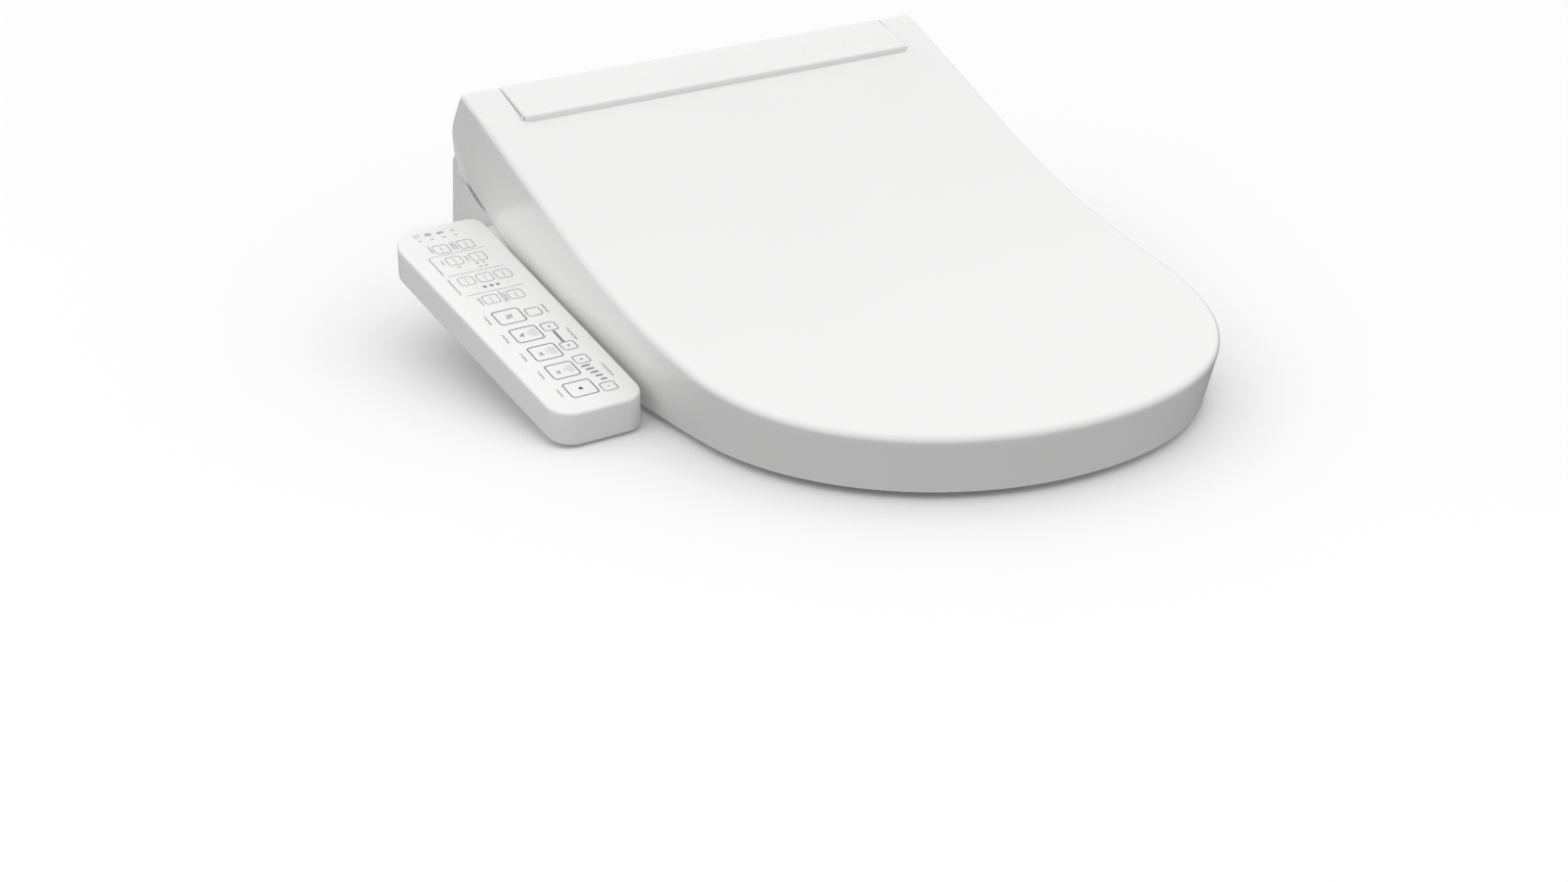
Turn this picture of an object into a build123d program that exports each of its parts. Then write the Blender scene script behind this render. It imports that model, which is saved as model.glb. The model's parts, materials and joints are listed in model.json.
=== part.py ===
from build123d import *
import os
from math import cos, radians, sin

os.makedirs("parts", exist_ok=True)

# Electric bidet seat, millimetres.  Z is up, the front of the seat faces -Y and the
# control arm is at -X.  The origin is midway between the two bowl bolts, on the rim.

# hinge line shared by lid and seat
hinge_y = -15.0
hinge_z = 128.0
pin_r = 5.0
pin_play = 0.05
drum_r = 46.4
trough_r = 47.6

# lid
lid_half = 193.5
lid_front = -470.0
lid_back = 31.4
lid_wall = 3.0
crown_z = 46.0
skirt_z = 5.0
skirt_taper = 10.0
notch_half = 164.5
notch_front = -28.0

# hinge cover that fills the notch
cover_half = 163.4
cover_front = -26.5

# seat ring
ring_half = 177.0
ring_front = -452.0
ring_back = -120.0
open_half = 107.0
open_front = -402.0
open_back = -152.0
ring_low = 6.0
ring_split = 20.0
ring_top = 38.0
seat_arm_in = 142.0
seat_arm_out = 172.0

# base unit
base_half = 189.5
base_front = -62.0
base_low = 3.0
base_split = 60.0
deck_z = 80.4
nose_half = 138.0
nose_front = -112.0
tower_in = 112.0
wall = 3.0

# bowl fixing
bolt_spacing = 140.0
bolt_hole_r = 4.5
plate_half_x = 104.0
plate_half_y = 27.0
plate_top = 7.5

# control arm
arm_out = -268.2
arm_taper = 5.0
arm_in = -195.8
arm_back = -9.6
arm_front = -242.3
arm_mid_x = -232.0
arm_mid_y = -125.9
arm_mid_z = 51.6
arm_pitch = 13.29
arm_depth = 23.5
arm_skin = 2.5
arm_slope = sin(radians(arm_pitch)) / cos(radians(arm_pitch))

# nozzle
nozzle_r = 6.5
nozzle_play = 0.4
nozzle_pitch = 10.0
nozzle_travel = 95.0

# a big key and a small key, across the arm by along the arm
big_key = (20.0, 16.6)
small_key = (10.9, 9.7)
setup_key = (11.4, 10.6)
key_gap = 0.3
key_thick = 3.4

# the arm's own plane: x across, y up the slope, z out of the top
arm_plane = Plane(
    origin=(arm_mid_x, arm_mid_y, arm_mid_z),
    x_dir=(1, 0, 0),
    z_dir=(0, -sin(radians(arm_pitch)), cos(radians(arm_pitch))),
)
hinge_plane = Plane.YZ
hinge_at = (hinge_y, hinge_z)

# ---------------------------------------------------------------- lid
# crown line of the lid, back to front
crown = [(10, 161.5), (-36, 142.4), (-109, 109.4), (-181, 80.3), (-253, 61.1)]
crown += [(-320, 50.9), (-400, 46.4), (-480, 46.2)]

with BuildPart() as lid_hollow:
    with BuildSketch(Plane.XY.offset(crown_z)) as plan:
        with BuildLine():
            inner_half = lid_half - lid_wall
            Line((-inner_half, 60), (-inner_half, lid_front + lid_half))
            ThreePointArc(
                (-inner_half, lid_front + lid_half),
                (0, lid_front + lid_wall),
                (inner_half, lid_front + lid_half),
            )
            Line((inner_half, lid_front + lid_half), (inner_half, 60))
            Line((inner_half, 60), (-inner_half, 60))
        make_face()
    extrude(amount=125)
    extrude(plan.sketch, amount=-46, taper=skirt_taper)
    with BuildSketch(Plane.YZ):
        with BuildLine():
            Spline([(y, z - 3.2) for y, z in crown])
            Line((-480, 43), (-480, -20))
            Line((-480, -20), (24.5, -20))
            Line((24.5, -20), (24.5, 106))
            ThreePointArc((24.5, 106), (27.0, 127), (23, 139.5))
            Line((23, 139.5), (10, 158.3))
        make_face()
    extrude(amount=200, both=True, mode=Mode.INTERSECT)

with BuildPart() as lid_shell:
    with BuildSketch(Plane.XY.offset(crown_z)) as plan:
        with BuildLine():
            Line((-lid_half, lid_back), (-lid_half, lid_front + lid_half))
            ThreePointArc(
                (-lid_half, lid_front + lid_half),
                (0, lid_front),
                (lid_half, lid_front + lid_half),
            )
            Line((lid_half, lid_front + lid_half), (lid_half, lid_back))
            Line((lid_half, lid_back), (-lid_half, lid_back))
        make_face()
        fillet(plan.vertices().group_by(Axis.Y)[-1], radius=9)
    extrude(amount=125)
    extrude(plan.sketch, amount=skirt_z - crown_z, taper=skirt_taper)
    # side view: ski-slope crown, rounded rear drum and the rising lower edge of the skirt
    with BuildSketch(Plane.YZ):
        with BuildLine():
            Spline(crown)
            Line((-480, 46.2), (-480, skirt_z))
            Line((-480, skirt_z), (-205, skirt_z))
            Spline([(-205, skirt_z), (-130, 29), (-55, 62.6)])
            Line((-55, 62.6), (22, 101.5))
            Line((22, 101.5), (27, 110))
            ThreePointArc((27, 110), (30.2, 127), (26, 141))
            Line((26, 141), (10, 161.5))
        make_face()
    extrude(amount=200, both=True, mode=Mode.INTERSECT)
    add(lid_hollow.part, mode=Mode.SUBTRACT)
    # notch for the hinge cover
    with BuildSketch(Plane.XY.offset(90)):
        with Locations((0, notch_front + 40)):
            RectangleRounded(2 * notch_half, 80, 4)
    extrude(amount=90, mode=Mode.SUBTRACT)
    # hinge bosses inside the two ears, each hung from the ear by a rib
    for side in (-1, 1):
        with BuildSketch(hinge_plane.offset(side * 175)):
            with Locations(hinge_at):
                Circle(9)
            with Locations((hinge_y, hinge_z + 10)):
                Rectangle(7, 20)
        extrude(amount=side * 16)
        with BuildSketch(hinge_plane.offset(side * 175)):
            with Locations(hinge_at):
                Circle(pin_r + pin_play)
        extrude(amount=side * 14.5, mode=Mode.SUBTRACT)
lid_shell.part.label = "lid_shell"
export_step(lid_shell.part, "parts/lid_shell.step")

with BuildPart() as hinge_cover:
    # curved panel from the front lip over the top and down the back of the drum
    with BuildSketch(Plane.YZ):
        with BuildLine():
            Line((cover_front, 146.2), (cover_front, 150.6))
            Spline([(cover_front, 150.6), (-6, 156.6), (10, 161.2)])
            Line((10, 161.2), (26, 141))
            ThreePointArc((26, 141), (30.2, 127), (27, 110))
            Line((27, 110), (24, 110))
            ThreePointArc((24, 110), (27.0, 127), (23, 139.5))
            Line((23, 139.5), (9, 157.6))
            Spline([(9, 157.6), (-6, 153.2), (cover_front + 3, 148.2)])
            Line((cover_front + 3, 148.2), (cover_front + 3, 146.2))
            Line((cover_front + 3, 146.2), (cover_front, 146.2))
        make_face()
    extrude(amount=cover_half, both=True)
    # flanges that clip under the ears
    with BuildSketch(Plane.YZ):
        with Locations((15.3, 147.3)):
            Rectangle(3, 9, rotation=38)
    extrude(amount=cover_half + 8, both=True)
hinge_cover.part.label = "hinge_cover"
export_step(hinge_cover.part, "parts/hinge_cover.step")

with BuildPart() as lid_bumpers:
    # four soft pads between lid and seat
    for x, y in ((-130, -190), (130, -190), (-110, -385), (110, -385)):
        with BuildSketch(Plane.XY.offset(ring_top + 0.3)):
            with Locations((x, y)):
                SlotOverall(22, 9, rotation=90)
        extrude(amount=30)
    with BuildSketch(Plane.YZ):
        with BuildLine():
            Spline([(y, z - 3.2) for y, z in crown])
            Line((-480, 43), (-480, 0))
            Line((-480, 0), (10, 0))
            Line((10, 0), (10, 158.3))
        make_face()
    extrude(amount=200, both=True, mode=Mode.INTERSECT)
lid_bumpers.part.label = "lid_bumpers"
export_step(lid_bumpers.part, "parts/lid_bumpers.step")

# ---------------------------------------------------------------- seat
with BuildSketch() as ring_plan:
    with BuildLine():
        Line((-ring_half, ring_back), (-ring_half, ring_front + ring_half))
        ThreePointArc(
            (-ring_half, ring_front + ring_half),
            (0, ring_front),
            (ring_half, ring_front + ring_half),
        )
        Line((ring_half, ring_front + ring_half), (ring_half, ring_back))
        Line((ring_half, ring_back), (-ring_half, ring_back))
    make_face()
    fillet(ring_plan.vertices().group_by(Axis.Y)[-1], radius=10)

with BuildSketch() as ring_opening:
    with BuildLine():
        Line((-open_half, -215), (-open_half, open_front + open_half))
        ThreePointArc(
            (-open_half, open_front + open_half),
            (0, open_front),
            (open_half, open_front + open_half),
        )
        Line((open_half, open_front + open_half), (open_half, -215))
        ThreePointArc((open_half, -215), (0, open_back), (-open_half, -215))
    make_face()

with BuildPart() as seat_top_shell:
    with BuildSketch(Plane.XY.offset(ring_split)):
        add(ring_plan.sketch)
    extrude(amount=ring_top - ring_split)
    with BuildSketch(Plane.XY.offset(ring_split)):
        add(ring_opening.sketch)
    extrude(amount=40, mode=Mode.SUBTRACT)
    fillet(seat_top_shell.edges().group_by(Axis.Z)[-1], radius=7)
    # hollow under the sitting surface
    with BuildSketch(Plane.XY.offset(ring_split)):
        offset(ring_plan.sketch, amount=-4)
        offset(ring_opening.sketch, amount=4, mode=Mode.SUBTRACT)
    extrude(amount=ring_top - ring_split - 4, mode=Mode.SUBTRACT)
    # two arms that climb to the hinge line
    for side in (-1, 1):
        with BuildSketch(Plane.YZ.offset(side * seat_arm_in)):
            with BuildLine():
                Spline([(-215, ring_top), (-150, 66), (-80, 104), (-22, 141)])
                ThreePointArc((-22, 141), (0, 126), (-24, 115.7))
                Spline([(-24, 115.7), (-80, 78), (-125, 48), (-165, ring_split + 2)])
                Line((-165, ring_split + 2), (-215, ring_split + 2))
                Line((-215, ring_split + 2), (-215, ring_top))
            make_face()
        extrude(amount=side * (seat_arm_out - seat_arm_in))
        with BuildSketch(Plane.YZ.offset(side * (seat_arm_in - 1))):
            with Locations(hinge_at):
                Circle(pin_r + pin_play)
        extrude(amount=side * 40, mode=Mode.SUBTRACT)
seat_top_shell.part.label = "seat_top_shell"
export_step(seat_top_shell.part, "parts/seat_top_shell.step")

with BuildPart() as seat_bottom_shell:
    with BuildSketch(Plane.XY.offset(ring_low)):
        add(ring_plan.sketch)
        add(ring_opening.sketch, mode=Mode.SUBTRACT)
    extrude(amount=ring_split - ring_low)
    with BuildSketch(Plane.XY.offset(ring_low + 3)):
        offset(ring_plan.sketch, amount=-4)
        offset(ring_opening.sketch, amount=4, mode=Mode.SUBTRACT)
    extrude(amount=ring_split - ring_low, mode=Mode.SUBTRACT)
    # way under the rear of the ring for the nozzle
    with Locations((0, ring_back - 20, ring_low)):
        Box(116, 80, 40, mode=Mode.SUBTRACT)
seat_bottom_shell.part.label = "seat_bottom_shell"
export_step(seat_bottom_shell.part, "parts/seat_bottom_shell.step")

with BuildPart() as seat_heater:
    # heater foil bonded under the sitting surface
    with BuildSketch(Plane.XY.offset(ring_top - 4.8)):
        offset(ring_plan.sketch, amount=-14)
        offset(ring_opening.sketch, amount=14, mode=Mode.SUBTRACT)
    extrude(amount=0.8)
    # clear of the solid roots of the seat arms
    with Locations((-157, -160, ring_top), (157, -160, ring_top)):
        Box(36, 120, 20, mode=Mode.SUBTRACT)
seat_heater.part.label = "seat_heater"
export_step(seat_heater.part, "parts/seat_heater.step")

with BuildPart() as seat_bumpers:
    # four pads that rest on the bowl rim
    for x, y in ((-142, -175), (142, -175), (-112, -376), (112, -376)):
        with BuildSketch(Plane.XY):
            with Locations((x, y)):
                SlotOverall(34, 13, rotation=90 if y > -200 else (55 if x > 0 else 125))
        extrude(amount=ring_low)
    fillet(seat_bumpers.edges().group_by(Axis.Z)[0], radius=1.5)
seat_bumpers.part.label = "seat_bumpers"
export_step(seat_bumpers.part, "parts/seat_bumpers.step")

# ---------------------------------------------------------------- base unit
with BuildPart(mode=Mode.PRIVATE) as base_solid:
    # full-width body with the drum trough along its top
    with BuildSketch(Plane.YZ):
        with BuildLine():
            Line((base_front, base_low), (46, base_low))
            Line((46, base_low), (43.6, 58))
            Line((43.6, 58), (38.8, 103))
            ThreePointArc((38.8, 103), (36.6, 109), (31, 111.5))
            Line((31, 111.5), (29.6, 111.5))
            ThreePointArc((29.6, 111.5), (16.4, 92.3), (hinge_y, deck_z))
            Line((hinge_y, deck_z), (base_front, deck_z))
            Line((base_front, deck_z), (base_front, base_low))
        make_face()
    extrude(amount=base_half, both=True)
    fillet(base_solid.edges().filter_by(Axis.Z).group_by(Axis.Y)[0], radius=8)
    # nose between the seat arms
    with BuildSketch(Plane.YZ):
        with BuildLine():
            Line((-104, base_low), (nose_front, 40))
            Line((nose_front, 40), (-108, 80))
            ThreePointArc((-108, 80), (-104.5, 88), (-97, 91.5))
            Line((-97, 91.5), (-70, 101))
            Line((-70, 101), (-58, 92))
            Line((-58, 92), (-46, deck_z))
            Line((-46, deck_z), (-46, base_low))
            Line((-46, base_low), (-104, base_low))
        make_face()
    extrude(amount=nose_half, both=True)

with BuildPart(mode=Mode.PRIVATE) as base_cavity:
    with BuildSketch(Plane.YZ):
        with BuildLine():
            Line((base_front + wall, base_low + wall), (43, base_low + wall))
            Line((43, base_low + wall), (40.6, 58))
            Line((40.6, 58), (36.6, 94))
            Line((36.6, 94), (29.2, 103))
            ThreePointArc((29.2, 103), (11.5, 84.8), (hinge_y, deck_z - wall))
            Line((hinge_y, deck_z - wall), (base_front + wall, deck_z - wall))
            Line((base_front + wall, deck_z - wall), (base_front + wall, base_low + wall))
        make_face()
    extrude(amount=base_half - wall, both=True)
    with BuildSketch(Plane.YZ):
        with BuildLine():
            Line((-101, base_low + wall), (nose_front + wall, 40))
            Line((nose_front + wall, 40), (-105, 80))
            Line((-105, 80), (-97, 88.3))
            Line((-97, 88.3), (-70, 97.6))
            Line((-70, 97.6), (-60, 90))
            Line((-60, 90), (-50, deck_z - wall))
            Line((-50, deck_z - wall), (-50, base_low + wall))
            Line((-50, base_low + wall), (-101, base_low + wall))
        make_face()
    extrude(amount=nose_half - wall, both=True)

screw_spots = [(-165, -30), (165, -8), (-165, 5), (60, -48), (-60, -48), (100, -90)]

# stepped parting line: everything behind it is the rear cover
with BuildSketch(Plane.YZ) as rear_zone:
    with BuildLine():
        Polyline((60, -5), (34.8, -5), (34.8, 60), (33.1, 77), (24.3, 77), (21, 120), (60, 120))
        Line((60, 120), (60, -5))
    make_face()

with BuildPart() as base_lower_case:
    add(base_solid.part)
    add(base_cavity.part, mode=Mode.SUBTRACT)
    # raised pan over the mounting plate, open underneath
    with Locations((0, 0, base_low + 4)):
        Box(2 * plate_half_x + 10, 2 * plate_half_y + 10, 8)
    with Locations((0, 0, base_low)):
        Box(2 * plate_half_x + 2, 2 * plate_half_y + 2, 9.6, mode=Mode.SUBTRACT)
    # screw holes in the floor
    with Locations(*[(x, y, base_low) for x, y in screw_spots]):
        Cylinder(1.5, 20, mode=Mode.SUBTRACT)
    # slot for the filter drawer in the right side
    with Locations((base_half, -38, 32)):
        Box(20, 32.6, 28.6, mode=Mode.SUBTRACT)
    # hole for the release button in the right side
    with Locations((base_half, 18, 16)):
        Box(20, 22.6, 10.6, mode=Mode.SUBTRACT)
    # nozzle port and dryer port in the nose
    with Locations((0, nose_front, 15.6)):
        Box(24, 40, 17, mode=Mode.SUBTRACT)
    with Locations((-56, nose_front, 21)):
        Box(44.6, 40, 20.6, mode=Mode.SUBTRACT)
    # hose nipple and cord gland holes
    with BuildSketch(Plane.YZ.offset(base_half - 6)):
        with Locations((-6, 30)):
            Circle(11)
    extrude(amount=20, mode=Mode.SUBTRACT)
    # cut away above the split and behind the parting line
    with Locations((0, 0, base_split + 60)):
        Box(600, 400, 120, mode=Mode.SUBTRACT)
    extrude(rear_zone.sketch, amount=300, both=True, mode=Mode.SUBTRACT)
base_lower_case.part.label = "base_lower_case"
export_step(base_lower_case.part, "parts/base_lower_case.step")

with BuildPart() as base_upper_housing:
    add(base_solid.part)
    add(base_cavity.part, mode=Mode.SUBTRACT)
    with Locations((0, 0, base_split - 60)):
        Box(600, 400, 120, mode=Mode.SUBTRACT)
    extrude(rear_zone.sketch, amount=300, both=True, mode=Mode.SUBTRACT)
    # two towers reach back from the nose to carry the hinge pins
    for side in (-1, 1):
        with BuildSketch(Plane.YZ.offset(side * tower_in)):
            with BuildLine():
                Line((-21.6, 138), (-70, 101))
                Line((-70, 101), (-58, 91.8))
                Line((-58, 91.8), (-8.4, 118))
                ThreePointArc((-8.4, 118), (-4.6, 134), (-21.6, 138))
            make_face()
        extrude(amount=side * (nose_half - tower_in))
        with BuildSketch(Plane.YZ.offset(side * (tower_in - 1))):
            with Locations(hinge_at):
                Circle(pin_r)
        extrude(amount=side * 40, mode=Mode.SUBTRACT)
base_upper_housing.part.label = "base_upper_housing"
export_step(base_upper_housing.part, "parts/base_upper_housing.step")

with BuildPart() as base_rear_cover:
    add(base_solid.part)
    add(base_cavity.part, mode=Mode.SUBTRACT)
    extrude(rear_zone.sketch, amount=300, both=True, mode=Mode.INTERSECT)
    with BuildSketch(Plane.XZ.offset(-30)):
        with Locations((120, 30)):
            Circle(8.5)
    extrude(amount=-40, mode=Mode.SUBTRACT)
base_rear_cover.part.label = "base_rear_cover"
export_step(base_rear_cover.part, "parts/base_rear_cover.step")

with BuildPart() as hinge_pins:
    # one steel pin a side, from tower through seat arm into the lid's boss
    for side in (-1, 1):
        with BuildSketch(Plane.YZ.offset(side * (tower_in + 2))):
            with Locations(hinge_at):
                Circle(pin_r)
        extrude(amount=side * 75)
hinge_pins.part.label = "hinge_pins"
export_step(hinge_pins.part, "parts/hinge_pins.step")

with BuildPart() as soft_close_dampers:
    # rotary damper barrels on the hinge line, one for the lid and one for the seat
    for side in (-1, 1):
        with BuildSketch(Plane.YZ.offset(side * (tower_in - 52))):
            with Locations(hinge_at):
                Circle(10)
        extrude(amount=side * 52)
        with BuildSketch(Plane.YZ.offset(side * (tower_in - 56))):
            with Locations(hinge_at):
                RegularPolygon(6, 6)
        extrude(amount=side * 4)
soft_close_dampers.part.label = "soft_close_dampers"
export_step(soft_close_dampers.part, "parts/soft_close_dampers.step")

with BuildPart() as base_feet:
    # rubber pads under the base
    with Locations((-150, 20, 1.5), (150, 20, 1.5), (-150, -48, 1.5), (150, -48, 1.5)):
        Box(34, 14, 3)
    fillet(base_feet.edges().filter_by(Axis.Z), radius=4)
base_feet.part.label = "base_feet"
export_step(base_feet.part, "parts/base_feet.step")

# ---------------------------------------------------------------- bowl fixing
with BuildPart() as mounting_plate:
    with Locations((0, 0, plate_top / 2)):
        Box(2 * plate_half_x, 2 * plate_half_y, plate_top)
    fillet(mounting_plate.edges().filter_by(Axis.Z), radius=6)
    with GridLocations(bolt_spacing, 1, 2, 1):
        Hole(bolt_hole_r)
    # seats for the bolt heads
    with BuildSketch(Plane.XY.offset(4)):
        with GridLocations(bolt_spacing, 1, 2, 1):
            Circle(11)
    extrude(amount=10, mode=Mode.SUBTRACT)
    # ribs and the window of the release catch
    with Locations((0, 4, plate_top)):
        Box(80, 26, 7, mode=Mode.SUBTRACT)
mounting_plate.part.label = "mounting_plate"
export_step(mounting_plate.part, "parts/mounting_plate.step")

with BuildPart() as plate_latch:
    # sprung tongue that locks the base on the plate
    with Locations((0, 4, 5.6)):
        Box(60, 20, 3.2)
    with Locations((0, 11, 7.4)):
        Box(24, 4, 0.6)
plate_latch.part.label = "plate_latch"
export_step(plate_latch.part, "parts/plate_latch.step")

# ---------------------------------------------------------------- water side
with BuildPart() as inlet_nipple:
    # hose nipple with a hexagon shoulder, bored through
    with BuildSketch(Plane.YZ.offset(base_half - 12)):
        with Locations((-6, 30)):
            Circle(10.4)
    extrude(amount=26)
    with BuildSketch(Plane.YZ.offset(base_half + 0.2)):
        with Locations((-6, 30)):
            RegularPolygon(13, 6)
    extrude(amount=4)
    with BuildSketch(Plane.YZ.offset(base_half - 14)):
        with Locations((-6, 30)):
            Circle(5.5)
    extrude(amount=40, mode=Mode.SUBTRACT)
inlet_nipple.part.label = "inlet_nipple"
export_step(inlet_nipple.part, "parts/inlet_nipple.step")

with BuildPart() as inlet_strainer:
    with BuildSketch(Plane.YZ.offset(base_half)):
        with Locations((-6, 30)):
            Circle(5.3)
            Circle(4.2, mode=Mode.SUBTRACT)
    extrude(amount=10)
    with BuildSketch(Plane.YZ.offset(base_half - 1)):
        with Locations((-6, 30)):
            Circle(5.3)
    extrude(amount=1)
inlet_strainer.part.label = "inlet_strainer"
export_step(inlet_strainer.part, "parts/inlet_strainer.step")

with BuildPart() as solenoid_valve:
    # valve body behind the nipple with its coil on top
    with Locations((156, -6, 30)):
        Box(42, 20, 22)
    with BuildSketch(Plane.XY.offset(41)):
        with Locations((156, -6)):
            Circle(10)
    extrude(amount=22)
    with Locations((156, -6, 52)):
        Box(24, 24, 14)
solenoid_valve.part.label = "solenoid_valve"
export_step(solenoid_valve.part, "parts/solenoid_valve.step")

with BuildPart() as heater_tank:
    # warm water tank with a domed end and two spigots
    with BuildSketch(Plane.YZ.offset(34)):
        with Locations((2, 44)):
            RectangleRounded(58, 56, 14)
    extrude(amount=86)
    fillet(heater_tank.edges().group_by(Axis.X)[-1], radius=6)
    fillet(heater_tank.edges().group_by(Axis.X)[0], radius=6)
    with BuildSketch(Plane.YZ.offset(119)):
        with Locations((-12, 40), (14, 40)):
            Circle(4.5)
    extrude(amount=12)
heater_tank.part.label = "heater_tank"
export_step(heater_tank.part, "parts/heater_tank.step")

with BuildPart() as water_pump:
    with BuildSketch(Plane.YZ.offset(136)):
        with Locations((25, 28)):
            Circle(9)
    extrude(amount=33)
    with Locations((140, 25, 43)):
        Box(14, 16, 16)
water_pump.part.label = "water_pump"
export_step(water_pump.part, "parts/water_pump.step")

# ---------------------------------------------------------------- nozzle
nozzle_exit = (0, nose_front, 14.2)
nozzle_dir = (0, -cos(radians(nozzle_pitch)), -sin(radians(nozzle_pitch)))
nozzle_plane = Plane(origin=nozzle_exit, x_dir=(1, 0, 0), z_dir=nozzle_dir)

with BuildPart() as nozzle_wand:
    # round wand with a soft nose; z runs out of the base
    with BuildSketch(nozzle_plane.offset(-134)):
        Circle(nozzle_r)
    extrude(amount=133)
    fillet(nozzle_wand.edges().sort_by(SortBy.DISTANCE), radius=2)
nozzle_wand.part.label = "nozzle_wand"
export_step(nozzle_wand.part, "parts/nozzle_wand.step")

with BuildPart() as nozzle_guide:
    # sleeve fixed in the base with a running gap round the wand
    with BuildSketch(nozzle_plane.offset(-128)):
        RectangleRounded(24, 20, 3)
        Circle(nozzle_r + nozzle_play, mode=Mode.SUBTRACT)
    extrude(amount=112)
nozzle_guide.part.label = "nozzle_guide"
export_step(nozzle_guide.part, "parts/nozzle_guide.step")

with BuildPart() as nozzle_motor:
    # stepper that drives the wand
    with BuildSketch(Plane.YZ.offset(14)):
        with Locations((-34, 54)):
            Circle(12)
    extrude(amount=16)
    with Locations((-2, -34, 54)):
        Box(32, 16, 12)
nozzle_motor.part.label = "nozzle_motor"
export_step(nozzle_motor.part, "parts/nozzle_motor.step")

# ---------------------------------------------------------------- air side
with BuildPart() as dryer_fan:
    # scroll housing of the warm air fan
    with BuildSketch(Plane.XY.offset(16)):
        with Locations((-56, -34)):
            Circle(25)
    extrude(amount=22)
    with Locations((-56, -66, 24)):
        Box(34, 30, 14)
dryer_fan.part.label = "dryer_fan"
export_step(dryer_fan.part, "parts/dryer_fan.step")

with BuildPart() as dryer_flap:
    # flap across the air outlet, hung from its top edge and swinging inwards
    with Locations((-56, -107.6, 20.8)):
        Box(44, 2.2, 20)
    with BuildSketch(Plane.YZ.offset(-78)):
        with Locations((-106.2, 30.2)):
            Circle(1)
    extrude(amount=44)
dryer_flap.part.label = "dryer_flap"
export_step(dryer_flap.part, "parts/dryer_flap.step")

with BuildPart() as odour_fan:
    with BuildSketch(Plane.YZ.offset(122)):
        with Locations((-38, 34)):
            Circle(15)
    extrude(amount=17)
odour_fan.part.label = "odour_fan"
export_step(odour_fan.part, "parts/odour_fan.step")

with BuildPart() as filter_drawer:
    # removable deodorising filter, drawn out sideways
    with Locations((165, -38, 32)):
        Box(49, 32, 28)
    with Locations((162, -38, 32)):
        Box(38, 26, 22, mode=Mode.SUBTRACT)
    with Locations((base_half, -38, 32)):
        Box(3, 14, 3, mode=Mode.SUBTRACT)
filter_drawer.part.label = "filter_drawer"
export_step(filter_drawer.part, "parts/filter_drawer.step")

with BuildPart() as filter_block:
    # carbon honeycomb that sits in the drawer
    with Locations((162, -38, 32)):
        Box(37.6, 25.6, 21.6)
filter_block.part.label = "filter_block"
export_step(filter_block.part, "parts/filter_block.step")

# ---------------------------------------------------------------- electrics
with BuildPart() as main_board:
    with Locations((-132, -14, 14)):
        Box(76, 72, 1.6)
    with Locations((-150, -30, 22)):
        Box(18, 18, 14.4)
    with Locations((-118, 6, 19)):
        Box(26, 14, 8.4)
main_board.part.label = "main_board"
export_step(main_board.part, "parts/main_board.step")

with BuildPart() as power_module:
    # potted supply in its own box
    with Locations((-60, 16, 32)):
        Box(46, 34, 34)
    fillet(power_module.edges().filter_by(Axis.Z), radius=3)
power_module.part.label = "power_module"
export_step(power_module.part, "parts/power_module.step")

with BuildPart() as cord_gland:
    # rubber gland with an open bore where the supply lead would leave
    with BuildSketch(Plane.XZ.offset(-34)):
        with Locations((120, 30)):
            Circle(8.4)
            Circle(3.6, mode=Mode.SUBTRACT)
    extrude(amount=-13)
    with BuildSketch(Plane.XZ.offset(-46.2)):
        with Locations((120, 30)):
            Circle(10.5)
            Circle(3.6, mode=Mode.SUBTRACT)
    extrude(amount=-1.8)
cord_gland.part.label = "cord_gland"
export_step(cord_gland.part, "parts/cord_gland.step")

with BuildPart() as release_button:
    # pressed in to slide the seat off its plate
    with Locations((base_half - 5.5, 18, 16)):
        Box(12, 22, 10)
    with Locations((base_half - 13, 18, 16)):
        Box(5, 26, 13)
release_button.part.label = "release_button"
export_step(release_button.part, "parts/release_button.step")

# ---------------------------------------------------------------- control arm
with BuildSketch(Plane.YZ.offset(arm_out)) as arm_side:
    with BuildLine():
        back_z = arm_mid_z + arm_slope * (arm_back - arm_mid_y)
        front_z = arm_mid_z + arm_slope * (arm_front - arm_mid_y)
        Line((arm_back, back_z), (arm_front, front_z))
        Line((arm_front, front_z), (arm_front, front_z - arm_depth))
        Line((arm_front, front_z - arm_depth), (arm_back, back_z - arm_depth))
        Line((arm_back, back_z - arm_depth), (arm_back, back_z))
    make_face()

with BuildPart(mode=Mode.PRIVATE) as arm_solid:
    extrude(arm_side.sketch, amount=arm_in - arm_out)
    # the outer side draws in towards the front
    with BuildSketch():
        with BuildLine():
            Line((arm_out, arm_back), (arm_out - 20, arm_back))
            Line((arm_out - 20, arm_back), (arm_out - 20, arm_front))
            Line((arm_out - 20, arm_front), (arm_out + arm_taper, arm_front))
            Line((arm_out + arm_taper, arm_front), (arm_out, arm_back))
        make_face()
    extrude(amount=120, mode=Mode.SUBTRACT)
    fillet(arm_solid.edges().filter_by(Axis.Z).group_by(Axis.Y)[0], radius=16)
    fillet(arm_solid.edges().filter_by(Axis.Z).group_by(Axis.Y)[-1].sort_by(Axis.X)[0], radius=24)
    fillet(arm_solid.edges().filter_by(Axis.Z).group_by(Axis.Y)[-1].sort_by(Axis.X)[-1], radius=10)

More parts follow.
